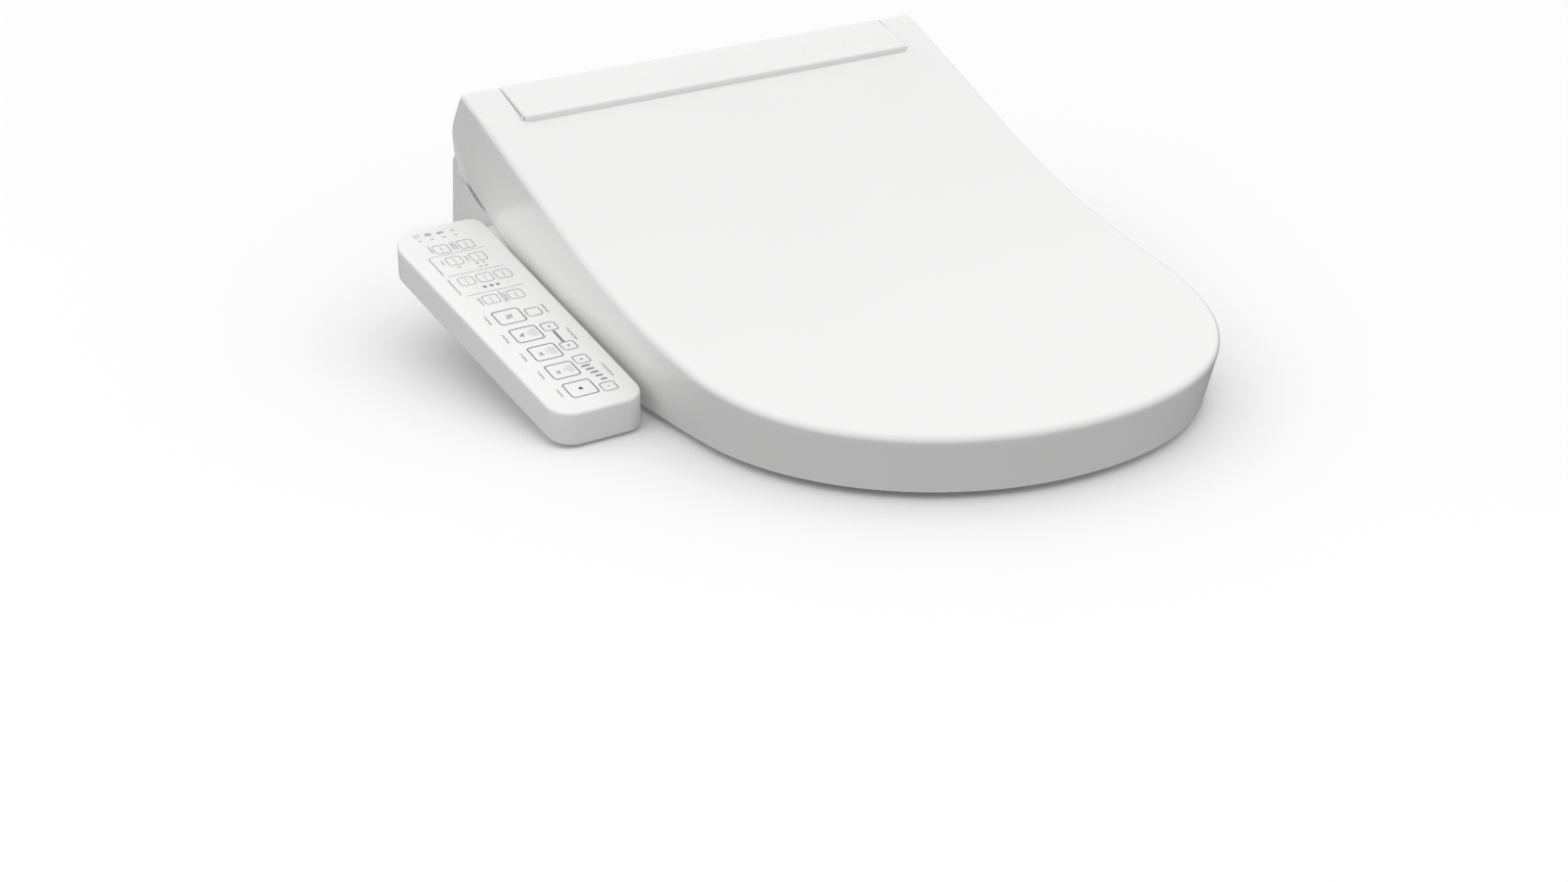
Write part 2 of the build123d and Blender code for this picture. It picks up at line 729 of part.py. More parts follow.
with BuildPart() as arm_lower_shell:
    add(arm_solid.part)
    fillet(arm_lower_shell.edges().group_by(Axis.Z)[0], radius=2)
    with BuildSketch(arm_plane.offset(-arm_depth + 3.5)) as arm_room:
        with BuildLine():
            Line((-33.2, 112), (-28.2, -112))
            Line((-28.2, -112), (33.6, -112))
            Line((33.6, -112), (33.6, 112))
            Line((33.6, 112), (-33.2, 112))
        make_face()
        fillet(arm_room.vertices(), radius=14)
    extrude(amount=40, mode=Mode.SUBTRACT)
    # posts under the control board
    with BuildSketch(arm_plane.offset(-arm_depth + 3.5)):
        with GridLocations(44, 180, 2, 2):
            Circle(3)
    extrude(amount=arm_depth - 3.5 - 6.8)
    # web that joins the arm to the side of the base
    with BuildSketch(Plane.YZ.offset(arm_in)):
        with BuildLine():
            Line((-21, 75.6), (-60, 57.6))
            Line((-60, 57.6), (-60, 46))
            Line((-60, 46), (-21, 55.6))
            Line((-21, 55.6), (-21, 75.6))
        make_face()
    extrude(amount=-arm_in - base_half)
    with BuildSketch(arm_plane.offset(-arm_skin)):
        Rectangle(200, 400)
    extrude(amount=60, mode=Mode.SUBTRACT)
arm_lower_shell.part.label = "arm_lower_shell"
export_step(arm_lower_shell.part, "parts/arm_lower_shell.step")

# key name: across, along, size
key_spots = {
    "key_stop": (-1.5, -96.0, big_key),
    "key_rear_wash": (-2.4, -73.5, big_key),
    "key_soft_wash": (-2.7, -50.6, big_key),
    "key_front_wash": (-3.8, -27.2, big_key),
    "key_dryer": (-4.6, -4.1, big_key),
    "key_memory": (13.5, -4.8, small_key),
    "key_position_back": (14.5, -24.5, small_key),
    "key_position_front": (15.6, -49.4, small_key),
    "key_pressure_more": (15.6, -66.6, small_key),
    "key_pressure_less": (16.8, -100.6, small_key),
}
setup_spots = [(-8.1, 88.0), (10.9, 88.4), (-6.6, 71.3), (11.2, 70.8), (-10.8, 45.2), (3.1, 45.2)]
setup_spots += [(17.0, 45.0), (-5.8, 19.3), (12.8, 19.0)]
lamp_spots = [(-17.1, 102.2), (-8.1, 102.0), (0.9, 101.9), (10.1, 101.9)]
lamp_spots += [(-7.1, 63.0), (6.7, 63.2), (11.3, 63.2), (7.0, 58.8), (11.4, 58.8)]
heat_spots = [(-2.4, 34.6), (2.6, 34.6), (7.5, 34.6)]
pressure_spots = [(14.3, -74.4, 7.0), (15.3, -78.6, 6.6), (16.2, -82.9, 6.2)]
pressure_spots += [(17.2, -87.4, 5.6), (18.2, -92.0, 5.0)]
inlay_depth = 0.6

with BuildPart() as indicator_inlays:
    # lamps, temperature marks, pressure bars and the position bar, let into the arm's top
    with BuildSketch(arm_plane):
        with Locations(*lamp_spots):
            SlotOverall(2.6, 1.0)
        with Locations(*heat_spots):
            Rectangle(2.8, 2.4)
        for x, y, long in pressure_spots:
            with Locations((x, y)):
                SlotOverall(long, 1.9)
        with Locations((14.6, -37.2)):
            Rectangle(2.2, 14.4)
    extrude(amount=-inlay_depth)
indicator_inlays.part.label = "indicator_inlays"
export_step(indicator_inlays.part, "parts/indicator_inlays.step")

with BuildPart() as setup_key_pad:
    # nine flat touch keys for the settings
    with BuildSketch(arm_plane):
        with Locations(*setup_spots):
            RectangleRounded(*setup_key, 2.2)
    extrude(amount=-inlay_depth)
setup_key_pad.part.label = "setup_key_pad"
export_step(setup_key_pad.part, "parts/setup_key_pad.step")

with BuildPart() as arm_top_cover:
    add(arm_solid.part)
    with BuildSketch(arm_plane.offset(-arm_skin)):
        Rectangle(200, 400)
    extrude(amount=-80, mode=Mode.SUBTRACT)
    rim = arm_top_cover.edges().filter_by(lambda e: arm_plane.to_local_coords(e.center()).Z > -0.2)
    fillet(rim, radius=2.2)
    add(setup_key_pad.part, mode=Mode.SUBTRACT)
    add(indicator_inlays.part, mode=Mode.SUBTRACT)
    # windows for the keys that move
    for x, y, size in key_spots.values():
        with BuildSketch(arm_plane.offset(1)):
            with Locations((x, y)):
                RectangleRounded(size[0] + 2 * key_gap, size[1] + 2 * key_gap, 2.6)
        extrude(amount=-8, mode=Mode.SUBTRACT)
arm_top_cover.part.label = "arm_top_cover"
export_step(arm_top_cover.part, "parts/arm_top_cover.step")

for name, (x, y, size) in key_spots.items():
    # flush key cap with a retaining lip at its two ends
    with BuildPart() as key_cap:
        with BuildSketch(arm_plane):
            with Locations((x, y)):
                RectangleRounded(size[0], size[1], 2.3)
        extrude(amount=-key_thick)
        with BuildSketch(arm_plane.offset(-key_thick)):
            with Locations((x, y)):
                Rectangle(size[0] - 3, size[1] + 2)
        extrude(amount=0.8)
    key_cap.part.label = name
    export_step(key_cap.part, f"parts/{name}.step")

with BuildPart() as key_mat:
    # rubber contact mat under the keys
    with BuildSketch(arm_plane.offset(-5.2)):
        with Locations((2, -2)):
            RectangleRounded(55, 210, 14)
    extrude(amount=1.0)
key_mat.part.label = "key_mat"
export_step(key_mat.part, "parts/key_mat.step")

with BuildPart() as control_board:
    with BuildSketch(arm_plane.offset(-6.8)):
        with Locations((2, -2)):
            RectangleRounded(53, 208, 12)
    extrude(amount=1.6)
    # processor and connector on the underside
    with BuildSketch(arm_plane.offset(-8.4)):
        with Locations((-4, 30)):
            Rectangle(14, 14)
        with Locations((14, 60)):
            Rectangle(8, 20)
    extrude(amount=1.6)
control_board.part.label = "control_board"
export_step(control_board.part, "parts/control_board.step")

with BuildPart() as case_screws:
    # pan-head screws that close the base from below
    for x, y in screw_spots:
        with Locations((x, y, 1.9)):
            Cylinder(3.4, 2.2)
        with Locations((x, y, 6)):
            Cylinder(1.5, 6)
case_screws.part.label = "case_screws"
export_step(case_screws.part, "parts/case_screws.step")
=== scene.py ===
import json
import math

import bmesh
import bpy
import numpy as np
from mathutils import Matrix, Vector


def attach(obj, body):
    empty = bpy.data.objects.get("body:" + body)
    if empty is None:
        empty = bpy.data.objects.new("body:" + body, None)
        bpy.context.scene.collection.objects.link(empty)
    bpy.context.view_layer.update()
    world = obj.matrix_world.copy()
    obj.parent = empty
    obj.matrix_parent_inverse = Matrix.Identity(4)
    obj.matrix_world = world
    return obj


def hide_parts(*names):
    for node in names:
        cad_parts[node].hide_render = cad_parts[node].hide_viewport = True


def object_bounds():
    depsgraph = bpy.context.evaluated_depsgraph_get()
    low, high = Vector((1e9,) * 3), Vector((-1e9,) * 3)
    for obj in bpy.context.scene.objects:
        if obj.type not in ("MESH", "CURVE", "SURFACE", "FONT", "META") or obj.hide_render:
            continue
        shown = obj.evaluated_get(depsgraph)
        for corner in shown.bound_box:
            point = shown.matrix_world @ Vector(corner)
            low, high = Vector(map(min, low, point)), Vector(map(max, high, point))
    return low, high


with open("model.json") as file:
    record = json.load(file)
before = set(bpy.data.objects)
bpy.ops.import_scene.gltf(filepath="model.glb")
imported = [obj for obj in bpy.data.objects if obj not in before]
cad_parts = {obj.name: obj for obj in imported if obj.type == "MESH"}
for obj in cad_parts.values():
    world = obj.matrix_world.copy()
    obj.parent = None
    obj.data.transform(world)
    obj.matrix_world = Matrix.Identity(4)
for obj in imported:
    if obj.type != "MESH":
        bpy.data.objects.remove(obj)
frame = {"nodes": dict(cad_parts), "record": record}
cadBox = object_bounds()
print("frame loaded")

mm = 0.001


# a node socket that takes part in plain arithmetic; each operator adds one Math node
class Val:
    def __init__(self, tree, socket):
        self.tree = tree
        self.socket = socket

    def maths(self, kind, first, second=None):
        node = self.tree.nodes.new("ShaderNodeMath")
        node.operation = kind
        for slotNumber, item in enumerate((first, second)):
            if isinstance(item, Val):
                self.tree.links.new(item.socket, node.inputs[slotNumber])
            elif item is not None:
                node.inputs[slotNumber].default_value = item
        return Val(self.tree, node.outputs[0])

    def __add__(self, other):
        return self.maths("ADD", self, other)

    __radd__ = __add__

    def __mul__(self, other):
        return self.maths("MULTIPLY", self, other)

    __rmul__ = __mul__

    def __sub__(self, other):
        return self.maths("SUBTRACT", self, other)

    def __rsub__(self, other):
        return self.maths("SUBTRACT", other, self)

    def below(self, other):
        return self.maths("LESS_THAN", self, other)


# one material and its node tree
class Finish:
    def __init__(self, name):
        self.material = bpy.data.materials.new(name)
        self.material.use_nodes = True
        self.tree = self.material.node_tree
        self.shader = self.tree.nodes["Principled BSDF"]
        self.coords = self.node("TexCoord").outputs["Object"]

    def node(self, kind, settings=None, **inputs):
        made = self.tree.nodes.new("ShaderNode" + kind)
        for key, value in (settings or {}).items():
            if key == "stops":
                ramp = made.color_ramp
                while len(ramp.elements) < len(value):
                    ramp.elements.new(0.5)
                for element, (place, colour) in zip(ramp.elements, value):
                    element.position = place
                    element.color = (*colour, 1)
            else:
                setattr(made, key, value)
        for key, value in inputs.items():
            self.feed(made.inputs[key.replace("_", " ")], value)
        return made

    def feed(self, socket, value):
        if isinstance(value, Val):
            self.tree.links.new(value.socket, socket)
        elif isinstance(value, bpy.types.NodeSocket):
            self.tree.links.new(value, socket)
        else:
            socket.default_value = value

    def value(self, kind, settings=None, output=0, **inputs):
        return Val(self.tree, self.node(kind, settings, **inputs).outputs[output])

    def noise(self, scale, detail=3.0, roughness=0.5):
        return self.value(
            "TexNoise", None, 0, Vector=self.coords, Scale=scale, Detail=detail, Roughness=roughness
        )

    def blendColours(self, factor, first, second):
        mix = self.node("Mix", {"data_type": "RGBA"})
        self.feed(mix.inputs[0], factor)
        self.feed(mix.inputs[6], (*first, 1))
        self.feed(mix.inputs[7], (*second, 1))
        return mix.outputs[2]

    def set(self, **sockets):
        for key, value in sockets.items():
            self.feed(self.shader.inputs[key.replace("_", " ")], value)
        return self

    def bump(self, height, strength=0.1, distance=0.0002):
        made = self.node("Bump", None, Height=height, Strength=strength, Distance=distance)
        self.tree.links.new(made.outputs[0], self.shader.inputs["Normal"])
        return self


# injection-moulded plastic: faint tone drift, fine spark texture, slightly uneven gloss
def mouldedPlastic(name, colour, rough=0.3, drift=0.012, grain=0.05, grainScale=2600, coat=0.0):
    finish = Finish(name)
    cloud = finish.noise(9.0, 2.0)
    shade = tuple(c * (1 - drift * 2.2) for c in colour)  # the darker end of the drift
    finish.set(Base_Color=finish.blendColours(cloud, shade, colour))
    finish.set(Roughness=(finish.noise(140.0, 2.0) - 0.5) * 0.08 + rough)
    fine, coarse = finish.noise(grainScale, 2.0), finish.noise(grainScale * 0.22, 2.0)
    finish.bump(fine + coarse * 0.6, grain)
    finish.shader.inputs["IOR"].default_value = 1.5
    if coat:
        finish.set(Coat_Weight=coat)
        finish.shader.inputs["Coat Roughness"].default_value = 0.12
    return finish.material


# rubber: matt, with a cloudy tone and a fine pebble
def softRubber(name, colour, rough=0.75):
    finish = Finish(name)
    shade = tuple(c * 0.86 for c in colour)
    finish.set(Base_Color=finish.blendColours(finish.noise(60.0), shade, colour))
    finish.set(Roughness=(finish.noise(300.0) - 0.5) * 0.2 + rough)
    return finish.bump(finish.noise(1500.0, 4.0), 0.25).material


# turned or rolled metal: fine lines along one way and a few dull patches
def metal(name, colour, rough=0.3, lined=True):
    finish = Finish(name)
    stretch = (40.0, 1500.0, 1500.0) if lined else (400.0,) * 3
    stretched = finish.node("Mapping", None, Vector=finish.coords, Scale=stretch)
    lines = finish.value("TexNoise", None, 0, Vector=stretched.outputs[0], Scale=1.0, Detail=3.0)
    shade = tuple(c * 0.8 for c in colour)
    finish.set(Base_Color=finish.blendColours(finish.noise(80.0), shade, colour))
    finish.set(Metallic=1.0, Roughness=lines * 0.22 + rough - 0.08)
    return finish.bump(lines, 0.06).material


# green board: square cells of solder mask with paler tracks between them
def circuitBoard(name):
    finish = Finish(name)
    square = {"distance": "CHEBYCHEV"}
    cells = finish.value("TexVoronoi", square, 0, Vector=finish.coords, Scale=260.0)
    tracks = (cells - 0.32).below(0.1) * 0.6
    finish.set(Base_Color=finish.blendColours(tracks, (0.03, 0.2, 0.09), (0.07, 0.32, 0.15)))
    finish.set(Roughness=(finish.noise(500.0) - 0.5) * 0.1 + 0.38)
    return finish.bump(cells, 0.15).material


# block of activated carbon: grey cell walls in the carbon's own tone, with painted shade making each
# cell's pit dark
def carbonBlock(name):
    finish = Finish(name)
    cells = finish.value("TexVoronoi", None, 0, Vector=finish.coords, Scale=420.0)
    # painted shade: the colour runs from near black at each cell's centre (the pit) to the grey of the
    # walls
    finish.set(Base_Color=finish.blendColours(cells, (0.012, 0.012, 0.013), (0.12, 0.12, 0.12)))
    finish.set(Roughness=finish.noise(600.0) * 0.2 + 0.7)
    return finish.bump(cells, 0.6).material


whiteTone = (0.845, 0.845, 0.84)
finishes = {
    "lid": mouldedPlastic("lidGloss", whiteTone, rough=0.24, grain=0.004, grainScale=900, coat=0.25),
    "cover": mouldedPlastic("coverGloss", whiteTone, rough=0.26, grain=0.004, grainScale=900, coat=0.2),
    "seat": mouldedPlastic("seatGloss", (0.86, 0.86, 0.855), rough=0.2, grain=0.015, coat=0.3),
    "case": mouldedPlastic("caseSatin", (0.82, 0.82, 0.815), rough=0.42, grain=0.09),
    "arm": mouldedPlastic("armSatin", (0.9, 0.9, 0.895), rough=0.38, grain=0.06),
    "key": mouldedPlastic("keySatin", (0.9, 0.9, 0.895), rough=0.4, grain=0.05, grainScale=3200),
    "ink": mouldedPlastic("printInk", (0.03, 0.03, 0.033), rough=0.5, drift=0.1, grain=0.1),
    "noteInk": mouldedPlastic("notePrintInk", (0.09, 0.09, 0.095), rough=0.5, drift=0.06, grain=0.1),
    "paleInk": mouldedPlastic("palePrintInk", (0.13, 0.13, 0.135), rough=0.5, drift=0.06, grain=0.1),
    "inlay": mouldedPlastic("indicatorTint", (0.27, 0.27, 0.275), rough=0.35, drift=0.05),
    "padWhite": softRubber("padWhite", (0.74, 0.74, 0.73), 0.6),
    "rubber": softRubber("rubberGrey", (0.32, 0.32, 0.325)),
    "mat": softRubber("matGrey", (0.24, 0.24, 0.25)),
    "pin": metal("turnedSteel", (0.62, 0.62, 0.63), 0.28),
    "screw": metal("platedSteel", (0.6, 0.6, 0.61), 0.32, lined=False),
    "can": metal("zincCan", (0.55, 0.55, 0.56), 0.36),
    "chrome": metal("nippleChrome", (0.78, 0.78, 0.79), 0.14),
    "foil": metal("heaterFoil", (0.75, 0.75, 0.76), 0.3, lined=False),
    "plate": mouldedPlastic("plateGrey", (0.5, 0.5, 0.495), rough=0.55, grain=0.16),
    "latch": mouldedPlastic("latchGrey", (0.16, 0.17, 0.18), rough=0.5, grain=0.12),
    "black": mouldedPlastic("unitBlack", (0.03, 0.03, 0.032), rough=0.5, grain=0.2),
    "tank": mouldedPlastic("tankNatural", (0.6, 0.57, 0.48), rough=0.45, grain=0.12),
    "wand": mouldedPlastic("wandGloss", (0.82, 0.82, 0.82), rough=0.22, grain=0.02, coat=0.3),
    "guide": mouldedPlastic("guideGrey", (0.26, 0.26, 0.27), rough=0.5, grain=0.14),
    "board": circuitBoard("solderMask"),
    "carbon": carbonBlock("carbonHoneycomb"),
}

nodeFinish = {
    "lid_bumpers": "padWhite", "seat_heater": "foil", "seat_bumpers": "rubber", "base_feet": "rubber",
    "hinge_pins": "pin", "soft_close_dampers": "latch", "mounting_plate": "plate", "plate_latch": "latch",
    "inlet_nipple": "chrome", "inlet_strainer": "screw", "solenoid_valve": "black", "heater_tank": "tank",
    "water_pump": "black", "nozzle_guide": "guide", "nozzle_motor": "can", "dryer_fan": "black",
    "odour_fan": "black", "main_board": "board", "power_module": "black", "cord_gland": "rubber",
    "arm_lower_shell": "arm", "arm_top_cover": "arm", "indicator_inlays": "inlay", "setup_key_pad": "key",
    "key_mat": "mat", "control_board": "board", "case_screws": "screw", "nozzle_wand": "wand",
    "dryer_flap": "case", "filter_drawer": "case", "filter_block": "carbon", "release_button": "key",
    "lid_shell": "lid", "hinge_cover": "cover", "seat_top_shell": "seat", "seat_bottom_shell": "case",
    "base_lower_case": "case", "base_upper_housing": "case", "base_rear_cover": "case",
}
for nodeName, nodeObject in frame["nodes"].items():
    finishName = nodeFinish.get(nodeName, "key" if nodeName.startswith("key_") else "case")
    nodeObject.data.materials.clear()
    nodeObject.data.materials.append(finishes[finishName])
print("finishes given to", len(frame["nodes"]), "nodes")

bodyOf = {node: body for body, nodes in frame["record"]["behaviour"]["bodies"].items() for node in nodes}


def makeObject(name, points, faces, finish, body, replaced=(), smoothAngle=35):
    mesh = bpy.data.meshes.new(name)
    mesh.from_pydata(np.asarray(points, float).tolist(), [], [list(map(int, f)) for f in faces])
    mesh.materials.append(finishes[finish])
    thing = bpy.data.objects.new(name, mesh)
    bpy.context.scene.collection.objects.link(thing)
    tidyMesh(mesh, smoothAngle)
    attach(thing, body)
    if replaced:
        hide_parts(*replaced)
    return thing


# doubles merged, faces shaded smooth where they meet at less than the angle
def tidyMesh(mesh, smoothAngle):
    work = bmesh.new()
    work.from_mesh(mesh)
    bmesh.ops.remove_doubles(work, verts=work.verts, dist=2e-6)
    bmesh.ops.dissolve_degenerate(work, edges=work.edges, dist=1e-6)
    work.to_mesh(mesh)
    work.free()
    mesh.polygons.foreach_set("use_smooth", [True] * len(mesh.polygons))
    mesh.set_sharp_from_angle(angle=math.radians(smoothAngle))


# quads of a rows by columns sheet of points, numbered row after row
def gridFaces(rows, columns, start=0):
    rowStart = np.arange(rows - 1)[:, None] * columns
    corner = (rowStart + np.arange(columns - 1)[None, :]).ravel() + start
    return np.stack([corner, corner + 1, corner + columns + 1, corner + columns], 1)


# cubic Hermite line through the knots; each knot's slope is the mean of the chords on its two sides
def smoothCurve(knots, where):
    knots = np.asarray(knots, float)
    x, y = knots[:, 0], knots[:, 1]
    chord = np.diff(y) / np.diff(x)
    slope = np.concatenate([[chord[0]], (chord[1:] + chord[:-1]) / 2, [chord[-1]]])
    i = np.clip(np.searchsorted(x, where) - 1, 0, len(x) - 2)
    h = x[i + 1] - x[i]
    t = np.clip((where - x[i]) / h, 0, 1)
    return (
        (1 + 2 * t) * (1 - t) ** 2 * y[i]
        + t * (1 - t) ** 2 * h * slope[i]
        + t * t * (3 - 2 * t) * y[i + 1]
        + t * t * (t - 1) * h * slope[i + 1]
    )


edgeStyle = {"hardAngle": 32, "smoothAngle": 30, "flatAngle": 1.0}  # degrees


# a copy of a CAD piece with its doubles merged, flat triangles joined and its hard edges rounded
def softEdges(node, width, segments=3):
    source = frame["nodes"][node]
    mesh = source.data.copy()
    work = bmesh.new()
    work.from_mesh(mesh)
    bmesh.ops.remove_doubles(work, verts=work.verts, dist=4e-6)
    flat = math.radians(edgeStyle["flatAngle"])
    bmesh.ops.dissolve_limit(work, angle_limit=flat, verts=work.verts, edges=work.edges)
    work.to_mesh(mesh)
    work.free()
    mesh.name = node + "_soft"
    thing = bpy.data.objects.new(node + "_soft", mesh)
    bpy.context.scene.collection.objects.link(thing)
    mesh.polygons.foreach_set("use_smooth", [True] * len(mesh.polygons))
    mesh.set_sharp_from_angle(angle=math.radians(edgeStyle["smoothAngle"]))
    bevel = thing.modifiers.new("edges", "BEVEL")
    bevel.width = width
    bevel.segments = segments
    bevel.limit_method = "ANGLE"
    bevel.angle_limit = math.radians(edgeStyle["hardAngle"])
    bevel.harden_normals = True
    bevel.miter_outer = "MITER_ARC"
    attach(thing, bodyOf[node])
    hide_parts(node)


lidShape = {
    "halfWidth": 193.8,
    "frontHalf": 192.5,  # half width where the front curve starts
    "frontCentre": -281.4,
    "frontDepth": 188.5,
    "squareness": 2.06,  # power of the front curve, 2 is an ellipse
    "wall": 3.0,
    "topEdge": 4.5,
    "drumEdge": 3.6,  # rounder where the ears wrap the drum
    "flare": 8.0,  # how far the skirt's foot stands in
    "flareTop": 46.0,  # foot height where the flare starts, and the drop over which it grows
    "flareDrop": 41.0,
    "narrowFrom": -217.0,  # where the lid starts to draw in, and the run over which it does
    "narrowRun": 64.0,
    "earFoot": 22.0,
    "rearFlare": 2.6,
    "foot": 5.0,
    "notchHalf": 164.5,
    "notchFront": -28.0,
    "notchCorner": 4.0,
    "earCorner": 5.5,  # reach of each rounded corner in the ear's side view
    "earTop": 158.0,  # the edge is the drum's below this height
    "edgeStart": 0.5,  # edge radius at the ear's lowest point, and its growth along the ear
    "edgeGrowth": 0.42,
    "step": 1.2,
    "lip": 0.9,
}
# side view of the lid, as (y, z) pairs: its crown, the foot of its skirt, and the ear round the drum
crownKnots = [
    (-480, 46.7), (-470, 46.5), (-422, 45.8), (-376, 46.8), (-349, 48.3), (-320, 50.9), (-289, 54.9),
    (-253, 61.1), (-217, 69.5), (-181, 80.3), (-145, 93.8), (-109, 109.4), (-72.5, 126), (-36, 142.4),
    (-18, 150.3), (0, 157.7), (18, 164.5),
]
footKnots = [
    (-480, 5), (-250, 5), (-205, 6.5), (-165, 15.5), (-130, 29), (-92, 45.6), (-59, 60.1), (-41, 68.4),
    (-14, 82.6), (2, 91.2), (16, 98), (22, 101.5),
]
drumKnots = [(22, 101.5), (25.4, 107), (28.6, 115), (30.2, 127), (29.4, 134.4), (26, 141), (12.3, 162.9)]


def crownAt(y):
    return smoothCurve(crownKnots, y)


# open line through the points, each corner replaced by a short parabola, resampled evenly
def rounded(points, radius, step):
    points = np.asarray(points, float)
    radii = np.broadcast_to(radius, len(points) - 2)
    dense = [points[0]]
    for before, corner, after, most in zip(points[:-2], points[1:-1], points[2:], radii):
        reach = min(most, np.linalg.norm(corner - before) * 0.49, np.linalg.norm(after - corner) * 0.49)
        start = corner + (before - corner) / np.linalg.norm(before - corner) * reach
        end = corner + (after - corner) / np.linalg.norm(after - corner) * reach
        t = np.linspace(0, 1, 7)[:, None]
        dense.extend((1 - t) ** 2 * start + 2 * t * (1 - t) * corner + t * t * end)
    dense = np.array(dense + [points[-1]])
    run = np.concatenate([[0], np.cumsum(np.linalg.norm(np.diff(dense, axis=0), axis=1))])
    even = np.linspace(0, run[-1], int(run[-1] / step) + 1)
    return np.stack([np.interp(even, run, dense[:, k]) for k in range(dense.shape[1])], 1)


